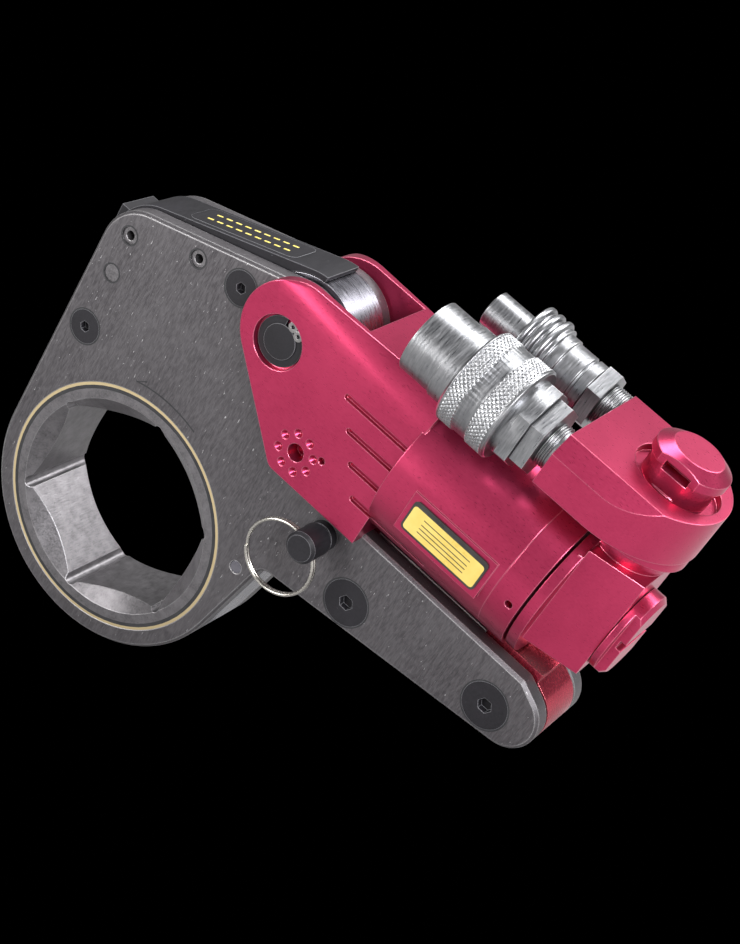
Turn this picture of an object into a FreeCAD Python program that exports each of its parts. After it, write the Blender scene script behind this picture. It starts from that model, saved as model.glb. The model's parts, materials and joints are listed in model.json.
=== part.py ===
import FreeCAD, Part
import math
import os
import Sketcher

# Hydraulic torque wrench with a ratchet link, a clevis-mounted cylinder and a two-axis swivel.
# Every piece is drawn with +X along the cylinder and the hex socket's centre at the origin, then
# tilted about Y by standTilt, so that the wrench stands on its nose and the end of its arm.

doc = FreeCAD.newDocument("TorqueWrench")
sheet = doc.addObject("Spreadsheet::Sheet", "Dim")

sizes = {
    # stance
    "standTilt": 32.6,
    "runClear": 0.05,
    "gapClear": 0.3,
    # side plates
    "linkHalf": 16.0,
    "plateThick": 7.0,
    "noseRadius": 50.0,
    "edgeBevel": 1.0,
    "topLeftZ": 80.5,
    "topLeftRadius": 17.0,
    "hingeX": 23.6,
    "hingeZ": 97.1,
    "lugRadius": 18.0,
    "lugCoreRadius": 19.3,
    "crookX": 59.5,
    "crookZ": 21.0,
    "crookRadius": 4.0,
    "armTopZ": 62.0,
    "armEndX": 146.9,
    "armEndZ": 48.3,
    "armEndRadius": 11.5,
    "armTipX": 145.0,
    "armTipZ": 60.0,
    "armTipRadius": 2.0,
    "neckX": 41.0,
    "neckRadius": 6.0,
    # ratchet, bushes and socket
    "ringRadius": 43.75,
    "hubRadius": 42.25,
    "hexAcross": 65.0,
    "hexTurn": 28.7,
    "toothTip": 47.0,
    "toothRoot": 44.5,
    "toothCount": 60.0,
    "toothWidth": 9.6,
    "socketBevel": 2.5,
    "guardThick": 1.4,
    "guardStartX": 27.0,
    "guardEndX": 56.0,
    "guardEndZ": 19.0,
    "reliefRadius": 2.2,
    "reliefCircle": 36.2,
    # drive lever and pawls
    "leverThick": 3.8,
    "leverRadius": 79.0,
    "leverRest": 10.0,
    "leverEye": 9.0,
    "leverRim": 46.6,
    "drivePinRadius": 4.5,
    "pawlSpan": 9.6,
    "pawlLift": 1.8,
    "stopPivotX": 48.5,
    "stopPivotZ": 18.0,
    "stopPivotRadius": 2.2,
    # arm core and reaction pad
    "coreStartX": 56.0,
    "padStartX": 126.0,
    "tongueStartX": 54.0,
    "tongueEndX": 80.0,
    "tongueBottomZ": 43.0,
    # head and cylinder
    "axisZ": 90.5,
    "barrelRadius": 28.0,
    "barrelStartX": 78.5,
    "capStartX": 123.4,
    "capEndX": 133.0,
    "earHalf": 22.0,
    "earTopZ": 118.5,
    "earBottomZ": 61.0,
    "earFootX": 41.5,
    "earRadius": 17.5,
    "webStartX": 45.2,
    "boreRadius": 20.0,
    "boreStartX": 89.0,
    "glandRadius": 15.0,
    "glandStartX": 81.0,
    "rodRadius": 10.0,
    "pistonThick": 6.0,
    "bladeHalf": 4.7,
    "bladeBottomZ": 69.5,
    "bladeTopZ": 86.4,
    "padX": 87.7,
    "padZ": 80.5,
    "padLong": 32.8,
    "padHigh": 14.5,
    "padRise": 0.3,
    "labelRim": 1.7,
    "labelThick": 0.5,
    "hingePinRadius": 5.8,
    "circlipRadius": 8.2,
    # swivels
    "flangeStartX": 133.8,
    "flangeThick": 3.6,
    "flangeRadius": 27.0,
    "blockEndX": 156.0,
    "blockTopZ": 113.3,
    "blockBottomZ": 75.5,
    "blockHalf": 19.0,
    "blockTaper": 13.5,
    "postRadius": 9.0,
    "plugRadius": 15.0,
    "plugThick": 5.5,
    "plugFlat": 19.0,
    "swivelX": 142.5,
    "stemRadius": 8.0,
    "portEndX": 114.0,
    "manifoldBottomZ": 123.5,
    "manifoldTopZ": 140.0,
    "manifoldHalf": 28.0,
    "manifoldRoundX": 132.0,
    "manifoldBevel": 5.6,
    "manifoldSeat": 2.5,
    "capRadius": 12.5,
    "capRise": 11.0,
    "capNeck": 11.2,
    "capFace": 8.4,
    "capBevel": 2.6,
    "capRim": 3.0,
    # couplers
    "portY": 20.0,
    "portZ": 132.3,
    "threadRadius": 6.6,
    "noseStartX": 62.3,
    "noseEndX": 73.8,
    "femaleNose": 12.25,
    "femaleStep": 12.8,
    "sleeveStartX": 79.7,
    "sleeveEndX": 98.4,
    "sleeveRadius": 16.0,
    "sleeveTravel": 2.0,
    "maleNose": 6.3,
    "maleCollar": 12.2,
    "poppetRadius": 3.0,
    "nutX": 105.0,
    "femaleNut": 25.0,
    "femaleHex": 22.0,
    "adapterThick": 4.8,
    "adapterBore": 3.5,
    "threadDepth": 8.5,
    "femaleBore": 9.0,
    "femaleBoreEndX": 88.0,
    "feedRadius": 4.0,
    "femalePoppetX": 76.0,
    "femalePoppetHead": 5.0,
    "femaleSpringRadius": 4.6,
    "maleNutX": 103.0,
    "maleHex": 19.0,
    "maleRingX": 76.5,
    "maleRingPitch": 3.5,
    "maleRingWide": 1.8,
    "maleShoulderX": 87.0,
    "maleBack": 9.2,
    "maleBore": 4.6,
    "maleBoreEndX": 90.0,
    "malePoppetX": 66.0,
    "malePoppetLong": 6.0,
    "maleSpringRadius": 3.4,
    "springWire": 0.5,
    # pull pin and ring
    "pullX": 67.5,
    "pullZ": 51.5,
    "pullRadius": 5.0,
    "knobRadius": 5.4,
    "knobEndY": 30.0,
    "ringOuter": 13.2,
    "ringWire": 1.2,
    "smallHead": 6.0,
    "smallShank": 3.0,
    "smallSink": 3.3,
    "smallKey": 1.9,
    "largeHead": 8.2,
    "largeShank": 4.0,
    "largeSink": 4.4,
    "largeKey": 2.6,
    "screwGrip": 14.0,
    "keyDepth": 2.4,
    "screwClear": 0.05,
    "rollPinRadius": 3.0,
    "coverRise": 3.3,
    "coverLip": 0.8,
    "coverGap": 2.0,
    "coverEndX": 22.0,
    "leverX": 13.718,
    "leverZ": 77.8,
    "bridgeRadius": 61.5,
    "bridgeThick": 4.0,
    "bridgeHalf": 10.0,
    "pawlTop": 57.5,
    "lugLow": 50.0,
    "lugHigh": 54.0,
    "lugHalf": 7.9,
    "earSink": 2.5,
    "facetLowZ": 108.5,
    "facetTopY": 16.5,
    "tapRadius": 3.0,
    "tapX": 47.3,
    "tapZ": 71.6,
    "dimpleCircle": 6.5,
    "rodShoulderX": 72.0,
    "hookX": 4.7,
    "pistonStartX": 116.9,
    "postStartX": 128.0,
    "stemStartZ": 104.0,
    "bossRadius": 17.0,
    "bossBottomZ": 118.8,
    "pedestalRadius": 13.4,
    "seatRadius": 14.5,
    "holeY": -24.5,
    "ringX": 61.9,
    "ringZ": 40.0,
}
for row, (alias, value) in enumerate(sizes.items(), start=1):
    cell = "A" + str(row)
    sheet.set(cell, str(value))
    sheet.setAlias(cell, alias)
doc.recompute()


# A length is given as a sum of cells and plain numbers, such as "axisZ + barrelRadius / 2".
def value(text):
    total = 0.0
    sign = 1.0
    words = str(text).split()
    i = 0
    while i < len(words):
        word = words[i]
        if word in "+-":
            sign = 1.0 if word == "+" else -1.0
            i += 1
            continue
        negative = word[0] == "-"
        word = word.lstrip("-")
        amount = sizes[word] if word in sizes else float(word)
        while i + 2 < len(words) and words[i + 1] in "*/":
            other = sizes[words[i + 2]] if words[i + 2] in sizes else float(words[i + 2])
            amount = amount * other if words[i + 1] == "*" else amount / other
            i += 2
        total += -sign * amount if negative else sign * amount
        sign = 1.0
        i += 1
    return total


# The same length written as an expression on the sheet.
def bound(text):
    out = []
    for word in str(text).split():
        name = word.lstrip("-")
        sign = "-" if word[0] == "-" and len(word) > 1 else ""
        out.append(sign + "Dim." + name if name in sizes else word)
    return " ".join(out)


def bind(obj, prop, text):
    obj.setExpression(prop, bound(text))


TURNS = {
    "z": FreeCAD.Rotation(),
    "y": FreeCAD.Rotation(FreeCAD.Vector(1, 0, 0), -90),
    "x": FreeCAD.Rotation(FreeCAD.Vector(0, 1, 0), 90),
}


def place(obj, at, along="z"):
    obj.Placement = FreeCAD.Placement(FreeCAD.Vector(*[value(c) for c in at]), TURNS[along])
    for letter, text in zip("xyz", at):
        bind(obj, "Placement.Base." + letter, text)
    return obj


def cylinder(radius, length, at, along="y"):
    obj = doc.addObject("Part::Cylinder", "Cylinder")
    bind(obj, "Radius", radius)
    bind(obj, "Height", length)
    return place(obj, at, along)


def cone(first, second, length, at, along="y"):
    obj = doc.addObject("Part::Cone", "Cone")
    bind(obj, "Radius1", first)
    bind(obj, "Radius2", second)
    bind(obj, "Height", length)
    return place(obj, at, along)


def box(sizeX, sizeY, sizeZ, at):
    obj = doc.addObject("Part::Box", "Box")
    bind(obj, "Length", sizeX)
    bind(obj, "Width", sizeY)
    bind(obj, "Height", sizeZ)
    return place(obj, at)


def torus(ring, wire, at, along="y"):
    obj = doc.addObject("Part::Torus", "Torus")
    bind(obj, "Radius1", ring)
    bind(obj, "Radius2", wire)
    return place(obj, at, along)


def fuse(*items):
    obj = doc.addObject("Part::MultiFuse", "Union")
    obj.Shapes = list(items)
    return obj


def cut(base, *tools):
    obj = doc.addObject("Part::Cut", "Cut")
    obj.Base = base
    obj.Tool = tools[0] if len(tools) == 1 else fuse(*tools)
    return obj


def common(first, second):
    obj = doc.addObject("Part::Common", "Common")
    obj.Base = first
    obj.Tool = second
    return obj


def group(*items):
    obj = doc.addObject("Part::Compound", "Group")
    obj.Links = list(items)
    return obj


def ringOf(outer, inner, length, at, along="y"):
    reach = [at[0], at[1], at[2]]
    return cut(cylinder(outer, length, reach, along), cylinder(inner, length, reach, along))


# A closed outline that runs counter-clockwise round its corners. Each corner is a centre and a radius:
# 0 is a sharp corner and a negative radius is a hollow one. Lines join the arcs as tangents.
def drawOutline(sketch, corners):
    spots = [(value(a), value(b), value(r)) for a, b, r in corners]
    count = len(spots)
    headings = []
    for i, (ax, ay, ar) in enumerate(spots):
        bx, by, br = spots[(i + 1) % count]
        span = math.hypot(bx - ax, by - ay)
        headings.append(math.atan2(by - ay, bx - ax) - math.asin((br - ar) / span))
    touch = []
    for i, (ax, ay, ar) in enumerate(spots):
        ends = []
        for heading in (headings[i - 1], headings[i]):
            ends.append(FreeCAD.Vector(ax + ar * math.sin(heading), ay - ar * math.cos(heading), 0))
        touch.append(ends)
    lines = []
    for i in range(count):
        lines.append(sketch.addGeometry(Part.LineSegment(touch[i][1], touch[(i + 1) % count][0])))
    for i, (ax, ay, ar) in enumerate(spots):
        before, after = lines[i - 1], lines[i]
        texts = corners[i]
        if ar == 0:
            sketch.addConstraint(Sketcher.Constraint("Coincident", before, 2, after, 1))
            pin(sketch, after, 1, ax, ay, texts)
            continue
        circle = Part.Circle(FreeCAD.Vector(ax, ay, 0), FreeCAD.Vector(0, 0, 1), abs(ar))
        turns = [headings[i - 1], headings[i]]
        quarter = -math.pi / 2 if ar > 0 else math.pi / 2
        first, last = (turns[0] + quarter, turns[1] + quarter)
        if ar < 0:
            first, last = last, first
        while last <= first:
            last += 2 * math.pi
        while last > first + 2 * math.pi:
            last -= 2 * math.pi
        arc = sketch.addGeometry(Part.ArcOfCircle(circle, first, last))
        near, far = (1, 2) if ar > 0 else (2, 1)
        sketch.addConstraint(Sketcher.Constraint("Tangent", before, 2, arc, near))
        sketch.addConstraint(Sketcher.Constraint("Tangent", arc, far, after, 1))
        radius = sketch.addConstraint(Sketcher.Constraint("Radius", arc, abs(ar)))
        length = bound(texts[2])
        sketch.setExpression("Constraints[" + str(radius) + "]", length if ar > 0 else "-(" + length + ")")
        pin(sketch, arc, 3, ax, ay, texts)


def pin(sketch, item, point, ax, ay, texts):
    for kind, number, text in (("DistanceX", ax, texts[0]), ("DistanceY", ay, texts[1])):
        held = sketch.addConstraint(Sketcher.Constraint(kind, -1, 1, item, point, number))
        bind(sketch, "Constraints[" + str(held) + "]", text)


# A body with one padded outline, centred on a plane that lies at the given offset.
def slab(corners, thick, offset="0", role="XZ_Plane"):
    body = doc.addObject("PartDesign::Body", "Body")
    plane = [p for p in body.Origin.OriginFeatures if p.Role == role][0]
    sketch = body.newObject("Sketcher::SketchObject", "Outline")
    sketch.AttachmentSupport = [(plane, "")]
    sketch.MapMode = "FlatFace"
    bind(sketch, "AttachmentOffset.Base.z", offset)
    drawOutline(sketch, corners)
    pad = body.newObject("PartDesign::Pad", "Pad")
    pad.Profile = sketch
    bind(pad, "Length", thick)
    pad.Midplane = True
    return body


nodes = []


def finish(name, obj):
    if obj.TypeId in ("Part::Cylinder", "Part::Box"):
        obj = group(obj)
    obj.Label = name
    obj.Placement = FreeCAD.Placement(
        FreeCAD.Vector(0, 0, 0), FreeCAD.Rotation(FreeCAD.Vector(0, 1, 0), sizes["standTilt"])
    )
    bind(obj, "Placement.Rotation.Angle", "standTilt")
    nodes.append(obj)
    return obj


# The same piece turned about the socket's axis.
def spin(obj, degrees):
    turned = group(obj)
    turned.Placement = FreeCAD.Placement(
        FreeCAD.Vector(0, 0, 0), FreeCAD.Rotation(FreeCAD.Vector(0, 1, 0), degrees)
    )
    return turned


# The length from one place to another, both written as sums.
def span(start, end):
    flipped = start.replace(" + ", " ~ ").replace(" - ", " + ").replace(" ~ ", " - ")
    return end + " - " + flipped


# Cylinders right through the wrench at each of the listed spots.
def through(spots, radius):
    return [cylinder(radius, "80", (x, "-40", z)) for x, z in spots]


SMALL_SCREWS = [("-40.3", "47.7"), ("1.66", "99.1")]
LARGE_SCREWS = [("86.0", "38.1"), ("140.6", "45.7")]
ROLL_PINS = [("-40.8", "85.9"), ("-15.9", "96.6")]
DOWEL = [("-40.5", "70.6")]
HINGE = [("hingeX", "hingeZ")]
PULL = [("pullX", "pullZ")]
STOP = [("stopPivotX", "stopPivotZ")]

PLATE = [
    ("0", "0", "noseRadius"),
    ("crookX", "crookZ", "-crookRadius"),
    ("armEndX", "armEndZ", "armEndRadius"),
    ("armTipX", "armTipZ", "armTipRadius"),
    ("neckX + neckRadius", "armTopZ + neckRadius", "-neckRadius"),
    ("hingeX", "hingeZ", "lugRadius"),
    ("topLeftRadius - noseRadius", "topLeftZ", "topLeftRadius"),
]
GAP = "linkHalf * 2 - plateThick * 2"
INNER = "linkHalf - plateThick"


# One countersunk screw, or with a clearance the room that it needs in the plate and the core.
def screw(spot, kind, front, clear=None):
    x, z = spot
    head, shank, sink = kind + "Head", kind + "Shank", kind + "Sink"
    if clear:
        head, shank = head + " + " + clear, shank + " + " + clear
    if front:
        top = cone(head, shank, sink, (x, "-linkHalf", z))
        stem = cylinder(shank, "screwGrip", (x, "-linkHalf", z))
    else:
        top = cone(shank, head, sink, (x, "linkHalf - " + sink, z))
        stem = cylinder(shank, "screwGrip", (x, "linkHalf - screwGrip", z))
    whole = fuse(top, stem)
    if clear:
        return whole
    key = doc.addObject("Part::Prism", "Key")
    key.Polygon = 6
    bind(key, "Circumradius", kind + "Key")
    bind(key, "Height", "keyDepth")
    place(key, (x, "-linkHalf" if front else "linkHalf - keyDepth", z), "y")
    return cut(whole, key)


def screwRoom(spots, kind, sides=(True, False)):
    return [screw(spot, kind, front, "screwClear") for spot in spots for front in sides]


# A closed coil spring: its mean radius, wire radius, pitch and length, from one end.
def spring(radius, wire, pitch, length, at, along):
    helix = doc.addObject("Part::Helix", "Helix")
    bind(helix, "Radius", radius)
    bind(helix, "Pitch", pitch)
    bind(helix, "Height", length)
    section = doc.addObject("Part::Circle", "Section")
    bind(section, "Radius", wire)
    section.Placement = FreeCAD.Placement(FreeCAD.Vector(value(radius), 0, 0), TURNS["y"])
    bind(section, "Placement.Base.x", radius)
    sweep = doc.addObject("Part::Sweep", "Coil")
    sweep.Sections = [section]
    sweep.Spine = (helix, ["Edge1"])
    sweep.Solid = True
    sweep.Frenet = True
    return place(group(sweep), at, along)


def bevelled(body, size):
    doc.recompute()
    pad = body.Tip
    edge = body.newObject("PartDesign::Chamfer", "EdgeBevel")
    ends = [i + 1 for i, face in enumerate(pad.Shape.Faces) if abs(face.normalAt(0, 0).y) > 0.9]
    edge.Base = (pad, ["Face%d" % i for i in ends])
    bind(edge, "Size", size)
    return body


def sidePlate(name, front):
    offset = "linkHalf - plateThick / 2" if front else "plateThick / 2 - linkHalf"
    plate = bevelled(slab(PLATE, "plateThick", offset), "edgeBevel")
    holes = through([("0", "0")], "ringRadius") + through(ROLL_PINS + DOWEL, "rollPinRadius + screwClear")
    holes += through(HINGE, "hingePinRadius + runClear") + through(PULL, "pullRadius + runClear")
    holes += through(STOP, "stopPivotRadius + screwClear")
    holes += screwRoom(SMALL_SCREWS, "small", (front,)) + screwRoom(LARGE_SCREWS, "large", (front,))
    finish(name, cut(plate, *holes))


def link():
    sidePlate("side_plate_front", True)
    sidePlate("side_plate_rear", False)

    cover = slab(
        [
            ("hingeX", "hingeZ", "lugRadius + coverRise"),
            ("topLeftRadius - noseRadius", "topLeftZ", "topLeftRadius + coverLip"),
            ("0.8 - noseRadius", "62", "0"),
        ],
        GAP,
    )
    sweep = cylinder("leverRadius + leverEye + coverGap", "60", ("0", "-30", "0"))
    core = cylinder("lugCoreRadius + gapClear", "60", ("hingeX", "-30", "hingeZ"))
    beyond = box("60", "60", "120", ("coverEndX", "-30", "40"))
    pins = through(ROLL_PINS, "rollPinRadius + screwClear")
    finish("top_shroud", cut(cover, sweep, core, beyond, *pins, *screwRoom(SMALL_SCREWS, "small")))

    stop = box("6", "linkHalf", "5.4", ("-2.5 - noseRadius", "-linkHalf / 2", "82.7"))
    corner = cylinder("topLeftRadius + coverLip", "60", ("topLeftRadius - noseRadius", "-30", "topLeftZ"))
    finish("corner_stop", cut(stop, corner))

    spacer = cylinder("5.5", GAP, ("-40.3", "plateThick - linkHalf", "47.7"))
    finish("frame_spacer", cut(spacer, *screwRoom(SMALL_SCREWS[:1], "small")))

    band = ringOf("noseRadius", "noseRadius - guardThick", GAP, ("0", "plateThick - linkHalf", "0"))
    upper = box("120", "60", "80", ("0", "-30", "-14"))
    above = box("120", "60", "80", ("-60", "-30", "0"))
    side = box("guardThick", GAP, "62", ("-noseRadius", "plateThick - linkHalf", "0"))
    inner = [(x, z, r + " - guardThick") for x, z, r in PLATE]
    belt = box("guardEndX - guardStartX", "60", "60", ("guardStartX", "-30", "guardEndZ - 60"))
    strip = cut(common(slab(PLATE, GAP), belt), slab(inner, "linkHalf * 2"))
    finish("nose_guard", fuse(cut(band, upper, above), side, strip))

    lug = cylinder("lugCoreRadius", GAP + " - 0.1", ("hingeX", "plateThick - linkHalf + 0.05", "hingeZ"))
    below = box("80", "60", "60", ("-20", "-30", "bladeTopZ + 0.5 - 60"))
    bores = through(HINGE, "hingePinRadius + runClear") + screwRoom(SMALL_SCREWS[1:], "small")
    arc = cylinder("leverRadius + leverEye + coverGap", "60", ("0", "-30", "0"))
    finish("lug_core", cut(lug, below, arc, *bores))

    room = box("padStartX - coreStartX", "60", "120", ("coreStartX", "-30", "-20"))
    tongueRoom = box(
        "tongueEndX - tongueStartX + 1", "60", "60", ("tongueStartX - 0.5", "-30", "tongueBottomZ - 0.4")
    )
    finish("arm_core", cut(common(slab(PLATE, GAP), room), tongueRoom, *screwRoom(LARGE_SCREWS[:1], "large")))

    raised = box("22", GAP, "8", ("padStartX + 0.1", "plateThick - linkHalf", "armTopZ - 3"))
    saddle = cylinder("barrelRadius + gapClear", "60", ("padStartX - 10", "0", "axisZ"), "x")
    end = common(slab(PLATE, GAP), box("60", "60", "120", ("padStartX + 0.1", "-30", "-20")))
    finish("reaction_pad", cut(fuse(end, raised), saddle, *screwRoom(LARGE_SCREWS[1:], "large")))

    for name, start in (("bush_front", "-linkHalf"), ("bush_rear", "linkHalf - plateThick")):
        finish(name, ringOf("ringRadius - 0.02", "hubRadius + runClear", "plateThick", ("0", start, "0")))

    sides = (True, False)
    finish("screws_small", group(*[screw(s, "small", f) for s in SMALL_SCREWS for f in sides]))
    finish("screws_large", group(*[screw(s, "large", f) for s in LARGE_SCREWS for f in sides]))
    pinLength = "linkHalf * 2 - 1"
    finish(
        "roll_pins",
        group(*[ringOf("rollPinRadius", "1.6", pinLength, (x, "0.5 - linkHalf", z)) for x, z in ROLL_PINS]),
    )
    x, z = DOWEL[0]
    finish("dowel_pin", cylinder("rollPinRadius", "linkHalf * 2 - 0.4", (x, "0.2 - linkHalf", z)))


# Ratchet teeth with their steep flanks facing clockwise, and with a margin the room they need.
def toothed(width, margin):
    points = []
    count = int(sizes["toothCount"])
    tip, root = sizes["toothTip"] + margin, sizes["toothRoot"] + margin
    for i in range(count):
        start = 2 * math.pi * i / count - margin / root
        for radius, turn in ((root, 0.0), (tip, 0.07)):
            angle = start + turn * 2 * math.pi / count
            points.append(FreeCAD.Vector(radius * math.cos(angle), -width / 2, radius * math.sin(angle)))
    face = Part.Face(Part.makePolygon(points + points[:1]))
    teeth = doc.addObject("Part::Feature", "Teeth")
    teeth.Shape = face.extrude(FreeCAD.Vector(0, width, 0))
    return teeth


def ratchet():
    hub = cylinder("hubRadius", "linkHalf * 2", ("0", "-linkHalf", "0"))
    socket = doc.addObject("Part::Prism", "Socket")
    socket.Polygon = 6
    bind(socket, "Circumradius", "hexAcross * 0.57735")
    bind(socket, "Height", "80")
    socket = spin(place(socket, ("0", "-40", "0"), "y"), -sizes["hexTurn"])
    mouth = "hexAcross * 0.57735 + 0.6"
    leads = [
        cone(mouth, mouth + " - 6", "socketBevel * 2", ("0", "-linkHalf", "0")),
        cone(mouth + " - 6", mouth, "socketBevel * 2", ("0", "linkHalf - socketBevel * 2", "0")),
    ]
    reliefs = []
    for i in range(6):
        groove = cylinder("reliefRadius", "80", ("reliefCircle", "-40", "0"))
        reliefs.append(spin(group(groove), 60 * i - sizes["hexTurn"]))
    wheel = fuse(hub, toothed(sizes["toothWidth"], 0.0))
    finish("ratchet_wheel", cut(wheel, socket, *reliefs, *leads))


def lever():
    outline = [("0", "0", "leverRim"), ("leverX", "leverZ", "leverEye")]
    window = spin(box("lugHalf * 2 + 0.2", "60", "lugHigh - lugLow + pawlLift + 0.4",
                      ("-0.1 - lugHalf", "-30", "lugLow - 0.2")), sizes["leverRest"])
    for name, side in (("drive_plate_front", ""), ("drive_plate_rear", "-")):
        offset = side + "5 + " + side + "leverThick / 2"
        plate = slab(outline, "leverThick", offset)
        hub = cylinder("hubRadius + runClear", "60", ("0", "-30", "0"))
        eye = cylinder("drivePinRadius", "60", ("leverX", "-30", "leverZ"))
        finish(name, cut(plate, hub, eye, window))
    half = "leverThick + 4.9"
    spot = ("leverX", "-4.9 - leverThick", "leverZ")
    finish("drive_pin", cylinder("drivePinRadius - 0.02", half + " + " + half, spot))
    bridge = box("bridgeHalf * 2", "10", "bridgeThick", ("-bridgeHalf", "-5", "bridgeRadius"))
    finish("spring_bridge", group(spin(bridge, sizes["leverRest"])))

    block = box("pawlSpan * 2", "9.4", "pawlTop - toothRoot + 4", ("-pawlSpan", "-4.7", "toothRoot - 4"))
    wide = "leverThick * 2 + 9.6"
    lugs = box("lugHalf * 2", wide, "lugHigh - lugLow", ("-lugHalf", "-4.8 - leverThick", "lugLow"))
    finish("drive_pawl", cut(spin(fuse(block, lugs), sizes["leverRest"]), toothed(12.0, 0.15)))
    coils = []
    for x in ("-6", "6"):
        seat = (x, "0", "pawlTop + 0.5")
        coils.append(spring("1.6", "0.4", "1.2", "bridgeRadius - pawlTop - 1", seat, "z"))
    finish("drive_pawl_springs", group(spin(group(*coils), sizes["leverRest"])))


def backstop():
    arm = slab([("stopPivotX", "stopPivotZ", "4.2"), ("35.6", "34.0", "1.8")], "9.4")
    rim = cylinder("toothTip + gapClear", "60", ("0", "-30", "0"))
    finish("backstop_pawl", cut(arm, rim, *through(STOP, "stopPivotRadius + runClear")))
    spot = ("stopPivotX", "0.2 - linkHalf", "stopPivotZ")
    finish("backstop_pivot", cylinder("stopPivotRadius", "linkHalf * 2 - 0.4", spot))


# The room above the sloping facet between an ear's outer face and its top.
def earFacet(side):
    near = FreeCAD.Vector(20.7, side * sizes["earHalf"], 113.6)
    far = FreeCAD.Vector(sizes["barrelStartX"], side * sizes["earHalf"], sizes["facetLowZ"])
    top = FreeCAD.Vector(sizes["barrelStartX"], side * sizes["facetTopY"], sizes["earTopZ"])
    along = (near - far).normalize()
    out = along.cross(top - far).normalize()
    if out.z < 0:
        out = -out
    up = out.cross(along).normalize()
    corners = [far + along * a + up * b for a, b in ((-20, -40), (120, -40), (120, 40), (-20, 40))]
    facet = doc.addObject("Part::Feature", "Facet")
    facet.Shape = Part.Face(Part.makePolygon(corners + corners[:1])).extrude(out * 40)
    return facet


def head():
    ear = [
        ("25.4", "earTopZ - earRadius", "earRadius"),
        ("earFootX + 2", "earBottomZ + 4", "4"),
        ("barrelStartX", "earBottomZ", "0"),
        ("barrelStartX", "earTopZ", "0"),
    ]
    tongue = box(
        "tongueEndX - tongueStartX", "linkHalf * 2 - plateThick * 2 - 0.6", "24",
        ("tongueStartX", "plateThick - linkHalf + 0.3", "tongueBottomZ"),
    )
    barrel = cylinder("barrelRadius", "capStartX - barrelStartX + 1", ("barrelStartX - 1", "0", "axisZ"), "x")
    labelPad = box("padLong", "8", "padHigh", ("padX", "-barrelRadius - padRise", "padZ"))
    room = "linkHalf * 2 + gapClear * 2"
    clevis = box("100", room, "200", ("webStartX - 100", "-linkHalf - gapClear", "0"))
    underside = box("200", room, "60", ("0", "-linkHalf - gapClear", "armTopZ + gapClear - 60"))
    ears = cut(slab(ear, "earHalf * 2"), clevis, underside, earFacet(-1), earFacet(1))
    whole = fuse(ears, barrel, labelPad, tongue)
    tools = [
        cylinder("boreRadius", "60", ("boreStartX", "0", "axisZ"), "x"),
        cylinder("glandRadius", "20", ("glandStartX", "0", "axisZ"), "x"),
        cylinder("rodRadius + 0.5", "60", ("webStartX - 5", "0", "axisZ"), "x"),
        box("rodShoulderX + 4 - webStartX", "bladeHalf * 2 + 1", "bladeTopZ - bladeBottomZ + 1.6",
            ("webStartX - 1", "-bladeHalf - 0.5", "bladeBottomZ - 0.6")),
    ]
    tools += through(HINGE, "hingePinRadius + screwClear") + through(PULL, "pullRadius + runClear")
    for side in ("-earHalf", "earHalf - earSink"):
        tools.append(cylinder("circlipRadius + 0.75", "earSink", ("hingeX", side, "hingeZ")))
    for i, (x, z) in enumerate((("51.1", "99.3"), ("57.2", "90.6"), ("63.4", "82"), ("69.8", "73.2"))):
        for y in ("-earHalf", "earHalf - 1.5"):
            tools.append(box("30", "1.5", "2", (x + " + 1", y, z + " - 1")))
            tools.append(cylinder("1", "1.5", (x + " + 1", y, z)))
    for sign in ("-", ""):
        start = "-earHalf" if sign else "earHalf - 5.6"
        tools.append(cylinder("tapRadius", "5.6", ("tapX", start, "tapZ")))
    for i in range(8):
        angle = math.pi * (2 * i + 1) / 8
        spot = (
            "tapX + dimpleCircle * " + str(round(math.cos(angle), 4)),
            "-earHalf",
            "tapZ + dimpleCircle * " + str(round(math.sin(angle), 4)),
        )
        tools.append(cone("1.5", "0.3", "1.3", spot))
    tools.append(cylinder("1.2", "2.5", ("tapX + 8.6", "-earHalf", "tapZ + 4.2")))
    finish("head_body", cut(whole, *tools))

    pinBody = cylinder("hingePinRadius", "earHalf * 2 - 2", ("hingeX", "1 - earHalf", "hingeZ"))
    grooves = [
        ringOf("hingePinRadius + 1", "hingePinRadius - 0.7", "1.1", ("hingeX", y, "hingeZ"))
        for y in ("-earHalf + earSink - 1.1", "earHalf - earSink")
    ]
    finish("hinge_pin", cut(pinBody, *grooves))
    clips = []
    for y in ("-earHalf + earSink - 1.05", "earHalf - earSink + 0.05"):
        ring = ringOf("circlipRadius", "hingePinRadius - 0.65", "1", ("hingeX", y, "hingeZ"))
        clips.append(cut(ring, box("2.4", "4", "12", ("hingeX - 1.2", y + " - 1", "hingeZ"))))
    finish("circlips", group(*clips))

    finish("label_plate", box(
        "padLong - labelRim * 2", "labelThick", "padHigh - labelRim * 2",
        ("padX + labelRim", "-barrelRadius - padRise - labelThick", "padZ + labelRim"),
    ))

    cap = cylinder("barrelRadius", "capEndX - capStartX", ("capStartX", "0", "axisZ"), "x")
    pocket = cylinder("11.5", "4.1", ("capStartX", "0", "axisZ"), "x")
    post = cylinder("postRadius + screwClear", "20", ("capStartX + 4", "0", "axisZ"), "x")
    spanner = cylinder("1.3", "5", ("129.7", "-barrelRadius", "87"))
    finish("end_cap", cut(cap, pocket, post, spanner))
    gland = ringOf("glandRadius - 0.02", "rodRadius + runClear", "boreStartX - glandStartX - 0.2",
                   ("glandStartX + 0.1", "0", "axisZ"), "x")
    groove = cylinder("rodRadius + 2.2", "2.4", ("glandStartX + 3", "0", "axisZ"), "x")
    finish("rod_gland", cut(gland, groove))
    spot = ("glandStartX + 3.1", "0", "axisZ")
    finish("rod_seal", ringOf("rodRadius + 2.15", "rodRadius + 0.03", "2.2", spot, "x"))

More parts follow.
